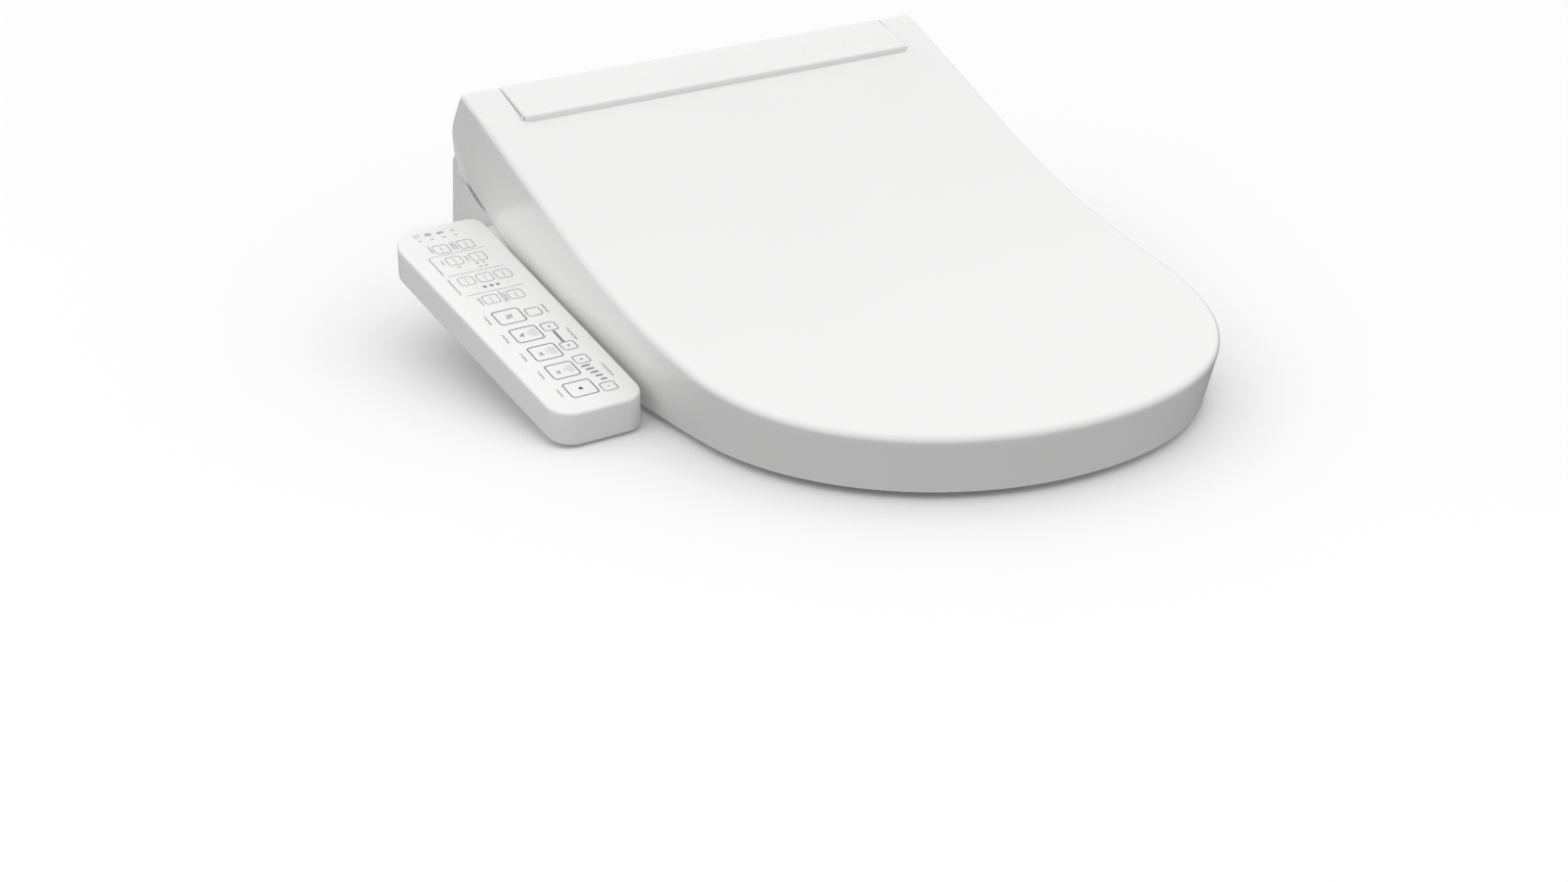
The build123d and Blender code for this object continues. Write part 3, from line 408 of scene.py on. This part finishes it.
# nested U-shaped rings carry the crown height; the outer ring turns down over a rounded edge into a
# ruled skirt; the two rear ears follow the drum outline in side view
def buildLid(s):
    seam = s["notchFront"] + s["notchCorner"]
    crownBack = [(y, float(crownAt(np.array([y]))[0])) for y in (-6, seam)]
    ear = rounded(drumKnots + crownBack, s["earCorner"], s["step"])  # lower back edge to the seam
    legY = np.linspace(seam, s["frontCentre"], 70)
    leg = np.stack([legY, crownAt(legY)], 1)
    side = np.concatenate([ear, leg[1:]])
    narrowing = np.clip((s["narrowFrom"] - side[:, 0]) / s["narrowRun"], 0, 1) ** 2
    half = s["halfWidth"] - (s["halfWidth"] - s["frontHalf"]) * narrowing
    edge = s["topEdge"] + (s["drumEdge"] - s["topEdge"]) * np.clip((side[:, 0] + 4) / 12, 0, 1)
    edge[: len(ear)] = np.where(side[: len(ear), 1] < s["earTop"], s["drumEdge"], edge[: len(ear)])
    edge = np.convolve(np.pad(edge, 5, mode="edge"), np.ones(11) / 11, "valid")
    edge[len(ear) - 1 :] = s["topEdge"]
    earRun = np.arange(len(ear)) * s["step"]
    edge[: len(ear)] = np.minimum(edge[: len(ear)], s["edgeStart"] + s["edgeGrowth"] * earRun)
    tangent = np.gradient(side, axis=0)
    tangent /= np.linalg.norm(tangent, axis=1)[:, None]
    up = np.stack([np.zeros(len(side)), tangent[:, 1], -tangent[:, 0]], 1)  # normal of the side outline
    footY = side[:, 0].copy()
    footY[: len(ear)] = s["earFoot"] + (seam - s["earFoot"]) * np.linspace(0, 1, len(ear)) ** 1.15
    footZ = smoothCurve(footKnots, footY)

    theta = np.linspace(0, np.pi, 121)
    bow = 2 / s["squareness"]
    unitX = np.sign(np.cos(theta)) * np.abs(np.cos(theta)) ** bow
    unitY = -(np.abs(np.sin(theta)) ** bow)
    arcNormal = np.stack(
        [
            np.sign(unitX) * np.abs(unitX) ** (s["squareness"] - 1) / s["frontHalf"],
            -(np.abs(unitY) ** (s["squareness"] - 1)) / s["frontDepth"],
            np.zeros_like(unitX),
        ],
        1,
    )
    arcNormal /= np.linalg.norm(arcNormal, axis=1)[:, None]

    # one U-shaped line of the crown, share of the way from the middle to the outer edge
    def ring(share):
        y0 = seam
        across = share * (s["halfWidth"] - s["topEdge"])
        if across < s["notchHalf"] - 1e-6:
            into = max(across - (s["notchHalf"] - s["notchCorner"]), 0)
            y0 = seam - math.sqrt(max(s["notchCorner"] ** 2 - into**2, 0))
        y = y0 + (s["frontCentre"] - y0) * (legY - seam) / (s["frontCentre"] - seam)
        x = share * (half[len(ear) - 1 :] - s["topEdge"])
        arcX = share * (s["frontHalf"] - s["topEdge"]) * unitX
        arcY = s["frontCentre"] + share * (s["frontDepth"] - s["topEdge"]) * unitY
        flatX = np.concatenate([x, arcX[1:-1], -x[::-1]])
        flatY = np.concatenate([y, arcY[1:-1], y[::-1]])
        return np.stack([flatX, flatY, crownAt(flatY)], 1)

    reachTop = s["halfWidth"] - s["topEdge"]
    turn = np.sin(np.linspace(0, np.pi / 2, 7))
    across = np.concatenate(
        [
            np.linspace(0, s["notchHalf"] - s["notchCorner"], 22),
            s["notchHalf"] - s["notchCorner"] + s["notchCorner"] * turn[1:],
            np.linspace(s["notchHalf"], reachTop, 9)[1:],
        ]
    )
    top = np.stack([ring(a / reachTop) for a in across])
    points = [top.reshape(-1, 3)]
    faces = [gridFaces(top.shape[0], top.shape[1])]
    count = top.shape[0] * top.shape[1]

    # ears: the side outline carried across from the notch to the outer edge
    earShare = (across[across >= s["notchHalf"] - 1e-6] - s["notchHalf"]) / (reachTop - s["notchHalf"])
    outer = half[: len(ear)] - edge[: len(ear)]
    for sign in (1, -1):
        x = s["notchHalf"] + earShare[:, None] * (outer - s["notchHalf"])[None, :]
        sheet = np.stack([sign * x, *(np.broadcast_to(ear[:, k], x.shape) for k in (0, 1))], 2)
        points.append(sheet.reshape(-1, 3))
        quads = gridFaces(*x.shape, count)
        faces.append(quads if sign > 0 else quads[:, ::-1])
        count += x.size

    # rounded edge and skirt along the whole outer line
    sideN = len(side)
    baseX = half - edge
    right = np.stack([baseX, side[:, 0], side[:, 1]], 1)
    arcY = s["frontCentre"] + (s["frontDepth"] - s["topEdge"]) * unitY[1:-1]
    arc = np.stack([(s["frontHalf"] - s["topEdge"]) * unitX[1:-1], arcY, crownAt(arcY)], 1)
    line = np.concatenate([right, arc, right[::-1] * (-1, 1, 1)])
    slope = (crownAt(arcY + 0.5) - crownAt(arcY - 0.5))[:, None]
    arcUp = np.concatenate([np.zeros_like(slope), -slope, np.ones_like(slope)], 1)
    upAll = np.concatenate([up, arcUp / np.linalg.norm(arcUp, axis=1)[:, None], up[::-1]])
    outRight = np.tile((1.0, 0, 0), (sideN, 1))
    out = np.concatenate([outRight, arcNormal[1:-1], -outRight])
    radius = np.concatenate([edge, np.full(len(arc), s["topEdge"]), edge[::-1]])[:, None]
    low = np.concatenate([footZ, np.full(len(arc), s["foot"]), footZ[::-1]])
    inset = s["flare"] * np.clip((s["flareTop"] - low) / s["flareDrop"], 0, 1)
    sideDrop = np.hypot(side[:, 0] - footY, side[:, 1] - footZ)
    sideInset = np.minimum(s["rearFlare"], 0.06 * sideDrop)
    inset[:sideN] = np.maximum(inset[:sideN], sideInset)
    inset[-sideN:] = np.maximum(inset[-sideN:], sideInset[::-1])
    foot = line + out * (radius - inset[:, None])
    foot[:, 2] = low
    foot[:sideN, 1] = footY
    foot[-sideN:, 1] = footY[::-1]
    drop = np.maximum(np.linalg.norm((line - foot)[:, 1:], axis=1), 1.0)
    lean = np.arctan(inset / drop)[:, None]
    centre = line - radius * upAll
    rows = [line]
    for part in np.linspace(0, 1, 9)[1:]:
        phi = part * (np.pi / 2 + lean)
        rows.append(centre + radius * (np.sin(phi) * out + np.cos(phi) * upAll))
    last = rows[-1]
    for part in np.linspace(0, 1, 13)[1:]:
        rows.append(last + (foot - last) * part)
    rim = np.stack(rows)
    points.append(rim.reshape(-1, 3))
    faces.append(gridFaces(rim.shape[0], rim.shape[1], count))
    points = np.concatenate(points) * mm

    lid = makeObject(
        "lid_shell_moulding", points, np.concatenate(faces), "lid", "lid", ["lid_shell"], 60
    )
    faceUp(lid.data)
    addWall(lid, s["wall"], s["lip"])


# all faces made to agree, with the highest ones looking up
def faceUp(mesh):
    work = bmesh.new()
    work.from_mesh(mesh)
    bmesh.ops.remove_doubles(work, verts=work.verts, dist=1e-5)
    bmesh.ops.dissolve_degenerate(work, edges=work.edges, dist=1e-6)
    bmesh.ops.recalc_face_normals(work, faces=work.faces)
    top = max(work.faces, key=lambda f: f.calc_center_median().z * f.normal.z ** 2)
    if top.normal.z < 0:
        bmesh.ops.reverse_faces(work, faces=work.faces)
    work.to_mesh(mesh)
    work.free()
    mesh.polygons.foreach_set("use_smooth", [True] * len(mesh.polygons))


# the surface gets its thickness inwards, and the wall's free edge a small round
def addWall(thing, wall, lip):
    solid = thing.modifiers.new("wall", "SOLIDIFY")
    solid.thickness = wall * mm
    solid.offset = -1
    solid.use_even_offset = False
    bevel = thing.modifiers.new("lip", "BEVEL")
    bevel.width = lip * mm
    bevel.segments = 2
    bevel.limit_method = "ANGLE"
    bevel.angle_limit = math.radians(50)
    bevel.harden_normals = True


buildLid(lidShape)
print("lid surface built")


coverShape = {
    "halfWidth": 163.5,
    "wall": 3.0,
    "endEdge": 1.4,
    "endDrop": 4.0,
    "frontCorner": 0.9,
    "corner": 5.5,
    "step": 0.6,
    "lip": 0.5,
}
# side view of the strip, as (y, z) pairs from its front edge over the drum
coverKnots = [
    (-27.3, 143.2), (-27.3, 150.3), (-16, 154), (-6, 157.6), (12.3, 163.1), (26, 141.2), (29.4, 134.6),
    (30.3, 127), (28.7, 115), (27, 110),
]


# side outline carried across; both ends turn down over a small rounded edge
def buildCover(s):
    corners = [s["frontCorner"]] + [s["corner"]] * (len(coverKnots) - 3)
    side = rounded(coverKnots, corners, s["step"])
    tangent = np.gradient(side, axis=0)
    tangent /= np.linalg.norm(tangent, axis=1)[:, None]
    up = np.stack([np.zeros(len(side)), -tangent[:, 1], tangent[:, 0]], 1)
    flatHalf = np.full(len(side), s["halfWidth"] - s["endEdge"])
    base = np.stack([flatHalf, side[:, 0], side[:, 1]], 1)
    centre = base - s["endEdge"] * up
    rows = [base * (f, 1, 1) for f in np.linspace(0, 1, 12)]
    sideways = np.array([1.0, 0, 0])
    for phi in np.linspace(0, np.pi / 2, 6)[1:]:
        rows.append(centre + s["endEdge"] * (math.sin(phi) * sideways + math.cos(phi) * up))
    edgeEnd = rows[-1]
    for part in (0.5, 1.0):
        rows.append(edgeEnd - up * s["endDrop"] * part)
    right = np.stack(rows)
    sheet = np.concatenate([right[:0:-1] * (-1, 1, 1), right])
    cover = makeObject(
        "hinge_cover_strip", sheet.reshape(-1, 3) * mm, gridFaces(*sheet.shape[:2]), "cover", "lid",
        ["hinge_cover"], 60,
    )
    faceUp(cover.data)
    addWall(cover, s["wall"], s["lip"])


buildCover(coverShape)
print("rear cover strip built")


# width in mm of the rounded edges on each copied CAD piece
softened = {
    "base_upper_housing": 1.4, "base_rear_cover": 2.4, "base_lower_case": 1.2,
    "arm_lower_shell": 1.0, "arm_top_cover": 0.35, "seat_top_shell": 2.0, "seat_bottom_shell": 1.2,
    "filter_drawer": 0.5, "release_button": 0.6, "dryer_flap": 0.4, "plate_latch": 0.4,
    "mounting_plate": 0.8, "cord_gland": 0.4, "seat_bumpers": 0.8, "lid_bumpers": 0.6, "base_feet": 0.5,
}
for nodeName, width in softened.items():
    softEdges(nodeName, width * mm)
keyEdge = 0.35
keyNames = [name for name in frame["nodes"] if name.startswith("key_") and name != "key_mat"]
for nodeName in keyNames:
    softEdges(nodeName, keyEdge * mm, segments=2)
print("edges softened on", len(softened) + len(keyNames), "pieces")


armPlane = {"origin": (-232.0, -125.9, 51.6), "pitch": 13.29, "inkLift": 0.1}


# arm coordinates to the shared frame: across is x, along runs up the sloped top
def onArm(across, along, lift):
    a = math.radians(armPlane["pitch"])
    across, along = np.broadcast_arrays(np.asarray(across, float), np.asarray(along, float))
    x0, y0, z0 = armPlane["origin"]
    y = y0 + along * math.cos(a) - lift * math.sin(a)
    z = z0 + along * math.sin(a) + lift * math.cos(a)
    return np.stack([x0 + across, y, z], -1)


# thin ink shapes laid on the arm's top, gathered into one mesh
class Print:
    def __init__(self, name, finish, body):
        self.name, self.finish, self.body = name, finish, body
        self.points, self.faces, self.count = [], [], 0

    # a ribbon along the line: each point is pushed to both sides by half the width
    def stroke(self, line, width, closed=False):
        line = np.asarray(line, float)
        if closed:
            before, after = np.roll(line, 1, axis=0), np.roll(line, -1, axis=0)
        else:
            before = np.concatenate([line[:1], line[:-1]])
            after = np.concatenate([line[1:], line[-1:]])
        along = after - before
        along /= np.linalg.norm(along, axis=1)[:, None]
        side = np.stack([-along[:, 1], along[:, 0]], 1) * width / 2
        ribbon = np.stack([line - side, line + side])
        if closed:
            ribbon = np.concatenate([ribbon, ribbon[:, :1]], 1)
        self.points.append(onArm(ribbon[..., 0], ribbon[..., 1], armPlane["inkLift"]).reshape(-1, 3))
        self.faces.append(gridFaces(2, ribbon.shape[1], self.count))
        self.count += ribbon.shape[1] * 2

    def patch(self, outline):
        outline = np.asarray(outline, float)
        self.points.append(onArm(outline[:, 0], outline[:, 1], armPlane["inkLift"]))
        self.faces.append([list(range(self.count, self.count + len(outline)))])
        self.count += len(outline)

    def box(self, x, y, wide, tall, corner, width):
        self.stroke(roundBox(x, y, wide, tall, corner), width, closed=True)

    def done(self):
        faces = [list(map(int, f)) for group in self.faces for f in group]
        points = np.concatenate(self.points) * mm
        thing = makeObject(self.name, points, faces, self.finish, self.body)
        faceUp(thing.data)


# closed outline of a rectangle with quarter-circle corners
def roundBox(x, y, wide, tall, corner):
    t = np.linspace(0, np.pi / 2, 6)
    parts = []
    for turn, (sx, sy) in enumerate(((1, 1), (-1, 1), (-1, -1), (1, -1))):
        a = t + turn * np.pi / 2
        cx, cy = x + sx * (wide / 2 - corner), y + sy * (tall / 2 - corner)
        parts.append(np.stack([cx + corner * np.cos(a), cy + corner * np.sin(a)], 1))
    return np.concatenate(parts)


# centre and size of a key's top face in arm coordinates, from the points that lie near the top
def padOf(nodeName):
    a = math.radians(armPlane["pitch"])
    verts = np.array([v.co for v in frame["nodes"][nodeName].data.vertices]) / mm - armPlane["origin"]
    along = verts[:, 1] * math.cos(a) + verts[:, 2] * math.sin(a)
    lift = -verts[:, 1] * math.sin(a) + verts[:, 2] * math.cos(a)
    flat = np.stack([verts[:, 0], along], 1)[lift > -0.3]
    low, high = flat.min(0), flat.max(0)
    return (low + high) / 2, high - low


panel = {
    "line": 0.55,
    "thinLine": 0.4,
    "tickPitch": 1.15,
    "setupKeys": [
        (-8.1, 88), (10.9, 88.4), (-6.6, 71.3), (11.2, 70.8), (-10.8, 45.2), (3.1, 45.2), (17, 45),
        (-5.8, 19.3), (12.8, 19),
    ],
    "dividers": [(-21.2, 21.8, 80.6), (-20.1, 22.8, 54.6), (-19.6, 23.4, 28.4)],
    # generic tick rows: across, along, length
    "sideNotes": [
        (-22.3, 68.4, 23), (-22.2, 40.9, 21), (-15.7, 90.1, 9), (0.6, 89.4, 9), (2.8, 89.4, 10),
        (-15.6, 71.4, 6), (2.8, 71, 7), (-13.9, 19.2, 10), (2.9, 19, 14), (4.9, 19, 10),
    ],
    "keyNotes": [
        (-20.4, -3.8, 11), (-19.7, -27.5, 11), (-18.9, -50.5, 8.5), (-18.3, -73, 8.5), (-16.9, -95.4, 8.5),
        (22.6, -3.8, 12), (24.4, -37.5, 15), (25.6, -83.4, 15),
    ],
}


# a row of short strokes that alternates three heights, standing for a line of small print
def noteTicks(ink, x, s, length, tall=1.5, pitch=panel["tickPitch"], width=0.36):
    for k, along in enumerate(np.arange(s + length / 2 - pitch / 2, s - length / 2, -pitch)):
        reach = tall / 2 * (1, 0.62, 0.85)[k % 3]
        drift = (0, 0.12, -0.1)[k % 3] * tall
        ink.stroke([(x - reach + drift, along), (x + reach + drift, along)], width)
        if k % 2:
            ink.stroke([(x + drift, along), (x + drift, along - pitch * 0.7)], width * 0.8)


lines = Print("arm_fine_print", "paleInk", "base")
for x, s in panel["setupKeys"]:
    lines.box(x, s, 11.0, 10.2, 2.0, panel["thinLine"])
    noteTicks(lines, x, s, 6.2, 1.3, 0.95, 0.2)
for x0, x1, s in panel["dividers"]:
    lines.stroke([(x0, s), (x1, s)], 0.3)
lines.stroke([(-8.6, 34.9), (-7.4, 34.9)], 0.3)
lines.stroke([(-8.0, 34.3), (-8.0, 35.5)], 0.3)
lines.stroke([(14.1, 34.2), (15.6, 35.4)], 0.3)
lines.done()

notes = Print("arm_notes", "noteInk", "base")
for x, s, length in panel["sideNotes"]:
    noteTicks(notes, x, s, length)
for x, s, length in panel["keyNotes"]:
    noteTicks(notes, x, s, length, 1.9, 1.5, 0.45)
# four status marks above the lamps: an open ring, two nested rounds, a capsule and a spark
sweep = np.linspace(0, 2 * np.pi, 17)[:-1]
wide = np.stack([2.3 * np.cos(sweep), 1.6 * np.sin(sweep)], 1)
notes.stroke(wide[:13] + (-16.7, 108.4), 0.4)
notes.stroke(wide + (-8.3, 108.5), 0.35, closed=True)
notes.stroke(wide * 0.5 + (-8.3, 108.5), 0.35, closed=True)
notes.stroke(roundBox(0.8, 108.0, 4.6, 2.0, 0.95), 0.35, closed=True)
for dx in (-1.2, 0, 1.2):
    notes.patch(roundBox(0.8 + dx, 108.0, 0.8, 0.8, 0.38))
for dx, ds in ((1.7, 0), (0, 1.7), (-1.7, 0), (0, -1.7)):
    notes.stroke([(10.3 + dx * 0.35, 107.6 + ds * 0.35), (10.3 + dx, 107.6 + ds)], 0.5)
notes.done()

bigMarks = {
    "key_dryer": "waves", "key_front_wash": "jet", "key_soft_wash": "fan", "key_rear_wash": "fan",
    "key_stop": "square", "key_memory": "plain", "key_position_back": "up",
    "key_position_front": "down", "key_pressure_more": "plus", "key_pressure_less": "minus",
}
for keyName, mark in bigMarks.items():
    (x, s), (wide, tall) = padOf(keyName)
    big = wide > 15
    outline = Print(keyName + "_outline", "ink" if big else "paleInk", keyName)
    lineWidth = panel["line"] if big else panel["thinLine"]
    outline.box(x, s, wide - 0.7, tall - 0.7, 2.2, lineWidth)
    outline.done()
    if mark == "plain":
        continue
    ink = Print(keyName + "_mark", "ink", keyName)
    t = np.linspace(-1, 1, 13)
    if mark == "waves":
        for dx in (-1.7, 0, 1.7):
            ink.stroke(np.stack([x + dx + 0.45 * np.sin(t * 3), s + 2.4 * t + dx * 0.2], 1), 0.5)
    elif mark == "square":
        ink.patch([(x - 1.2, s - 1.2), (x + 1.2, s - 1.2), (x + 1.2, s + 1.2), (x - 1.2, s + 1.2)])
    elif mark in ("up", "down"):
        way = 1 if mark == "up" else -1
        ink.patch([(x - 1.1, s - 0.7 * way), (x + 1.1, s - 0.7 * way), (x, s + 1.0 * way)])
    elif mark == "plus":
        ink.stroke([(x - 1.1, s), (x + 1.1, s)], 0.4)
        ink.stroke([(x, s - 1.1), (x, s + 1.1)], 0.4)
    elif mark == "minus":
        ink.stroke([(x - 1.0, s), (x + 1.0, s)], 0.45)
    else:
        # spray figure: a short curved lip with a fan of jets, and a faint divider beside it
        ink.stroke(np.stack([x - 3.4 + 1.2 * t, s + 1.4 * t * t - 0.6], 1), 0.5)
        for dx in (-1.0, 0, 1.0) if mark == "fan" else (0.0,):
            ink.stroke([(x - 3.4 + dx * 0.6, s - 1.0), (x - 3.4 + dx * 1.6, s - 3.0)], 0.35)
        if mark == "jet":
            ink.stroke([(x - 5.6, s - 1.6), (x - 1.4, s + 2.2)], 0.45)
        faint = Print(keyName + "_notes", "paleInk", keyName)
        faint.stroke([(x + 1.4, s - 1.8), (x + 1.4, s + 1.8)], 0.2)
        for dx, long in ((3.6, 7.5), (5.4, 9.5), (7.2, 8.0)):
            noteTicks(faint, x + dx, s, long, 1.1, 0.85, 0.16)
        faint.done()
    ink.done()
print("arm print laid")


studio = {
    "floorZ": cadBox[0][2] - 0.0004,  # a hair under the feet
    "skyTop": 1.04,
    "skyLow": 0.2,
    "leftLamp": 4.2,
    "frontLamp": 1.6,
}
bpy.ops.mesh.primitive_plane_add(size=60, location=(0, 0, studio["floorZ"]))
floor = bpy.context.object
floor.name = "floor"
paper = Finish("floorPaper")
paper.set(Base_Color=paper.blendColours(paper.noise(3.0), (0.93, 0.93, 0.93), (0.945, 0.945, 0.945)))
paper.set(Roughness=paper.noise(8.0) * 0.1 + 0.85)
floor.data.materials.append(paper.material)
floor.visible_diffuse = False
floor.visible_glossy = False

world = bpy.data.worlds.new("studio")
bpy.context.scene.world = world
world.use_nodes = True
sky = world.node_tree
coords = sky.nodes.new("ShaderNodeTexCoord")
split = sky.nodes.new("ShaderNodeSeparateXYZ")
ramp = sky.nodes.new("ShaderNodeMapRange")
ramp.interpolation_type = "SMOOTHSTEP"
ramp.inputs["From Min"].default_value = -0.25
ramp.inputs["From Max"].default_value = 0.3
ramp.inputs["To Min"].default_value = studio["skyLow"]
ramp.inputs["To Max"].default_value = studio["skyTop"]
sky.links.new(coords.outputs["Generated"], split.inputs[0])
sky.links.new(split.outputs["Z"], ramp.inputs["Value"])
background = sky.nodes["Background"]
background.inputs["Color"].default_value = (1, 1, 1, 1)
sky.links.new(ramp.outputs[0], background.inputs["Strength"])


def softbox(name, place, target, size, power):
    lampData = bpy.data.lights.new(name, "AREA")
    lampData.shape = "RECTANGLE"
    lampData.size, lampData.size_y = size
    lampData.energy = power
    lamp = bpy.data.objects.new(name, lampData)
    lamp.location = place
    lamp.rotation_euler = (Vector(target) - Vector(place)).to_track_quat("-Z", "Y").to_euler()
    lamp.visible_camera = False
    lamp.visible_glossy = False
    bpy.context.scene.collection.objects.link(lamp)


# name, place, point it looks at, size, power
softbox("leftBox", (-2.4, -0.5, 1.3), (0, -0.2, 0.1), (1.6, 1.6), studio["leftLamp"])
softbox("frontBox", (0.6, -2.6, 1.5), (0, -0.2, 0.1), (2.0, 1.2), studio["frontLamp"])

shot = {"azimuth": -33.668, "elevation": 24.112, "place": (-0.9959, -1.6005, 0.6959), "lens": 60.75}
cameraData = bpy.data.cameras.new("camera")
cameraData.lens = shot["lens"]
cameraData.sensor_width = 36
cameraData.clip_start = 0.01
camera = bpy.data.objects.new("camera", cameraData)
bpy.context.scene.collection.objects.link(camera)
turnTo, rise = math.radians(shot["azimuth"]), math.radians(shot["elevation"])
back = Vector((math.sin(turnTo) * math.cos(rise), -math.cos(turnTo) * math.cos(rise), math.sin(rise)))
camera.location = shot["place"]
camera.rotation_euler = (-back).to_track_quat("-Z", "Y").to_euler()
bpy.context.scene.camera = camera
bpy.context.scene.view_settings.view_transform = "Standard"
print("floor, light and camera set")

bpy.context.view_layer.update()
